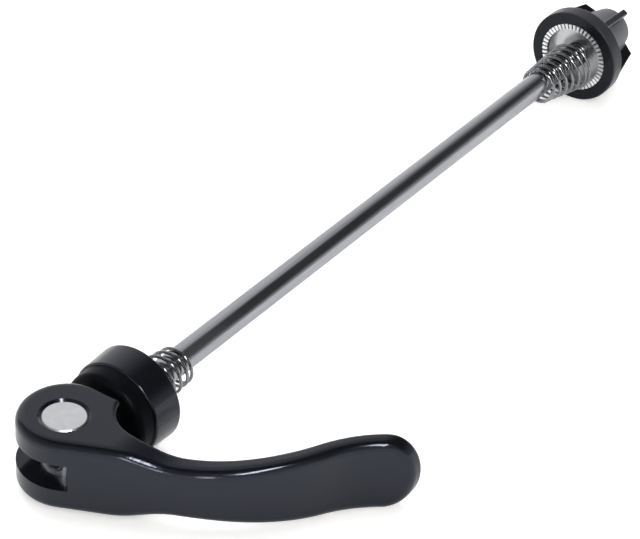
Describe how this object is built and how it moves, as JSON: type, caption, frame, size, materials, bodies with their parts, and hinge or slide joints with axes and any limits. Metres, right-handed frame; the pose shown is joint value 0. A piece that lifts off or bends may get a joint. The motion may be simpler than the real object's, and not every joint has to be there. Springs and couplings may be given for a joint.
{
  "type": "quick release skewer",
  "caption": "Bicycle quick release skewer: a long steel rod with a curved black cam lever and cap at one end, a finned adjusting nut at the other, and a conical spring inside each clamp face.",
  "frame": {"origin": "on the rod's axis, in the plane of the lever side's clamp face", "axes": "+Y along the rod from the lever to the nut, +Z along the lever's pivot, upwards as it lies"},
  "size_m": [0.0608, 0.1889, 0.0198],
  "materials": {
    "rod_steel": "drawn bright steel",
    "pivot_steel": "fine satin, turned",
    "black_alloy": "gloss black",
    "saddle_plastic": "satin black",
    "grip_steel": "bright plated",
    "spring_steel": "bright drawn wire",
    "lock_nylon": "dull black nylon"
  },
  "bodies": {
    "skewer": {"skewer_rod": "rod_steel", "pivot_barrel": "pivot_steel"},
    "lever": {"cam_lever": "black_alloy"},
    "lever_cap": {"cam_saddle": "saddle_plastic", "lever_end_cap": "black_alloy", "lever_grip_ring": "grip_steel", "lever_spring": "spring_steel"},
    "nut_spring": {"nut_spring": "spring_steel"},
    "nut": {"nut_body": "black_alloy", "nut_grip_insert": "grip_steel", "nut_lock_ring": "lock_nylon"}
  },
  "joints": [
    {"name": "lever_hinge", "type": "hinge", "parent": "skewer", "child": "lever", "pos_m": [0, -0.02013, 0], "axis": [0, 0, -1], "range_deg": [0, 180]},
    {"name": "cap_slide", "type": "slide", "parent": "skewer", "child": "lever_cap", "axis": [0, 1, 0], "range_m": [-0.0014, 0]},
    {"name": "nut_travel", "type": "slide", "parent": "skewer", "child": "nut_spring", "axis": [0, 1, 0], "range_m": [-0.008, 0.004]},
    {"name": "nut_turn", "type": "hinge", "parent": "nut_spring", "child": "nut", "pos_m": [0, 0.1456, 0], "axis": [0, 1, 0], "range_deg": [-3600, 1800]}
  ],
  "couplings": [
    {"joint": "cap_slide", "follows": "lever_hinge", "m_per_rad": -0.0004456},
    {"joint": "nut_travel", "follows": "nut_turn", "m_per_rad": 0.00012732}
  ]
}
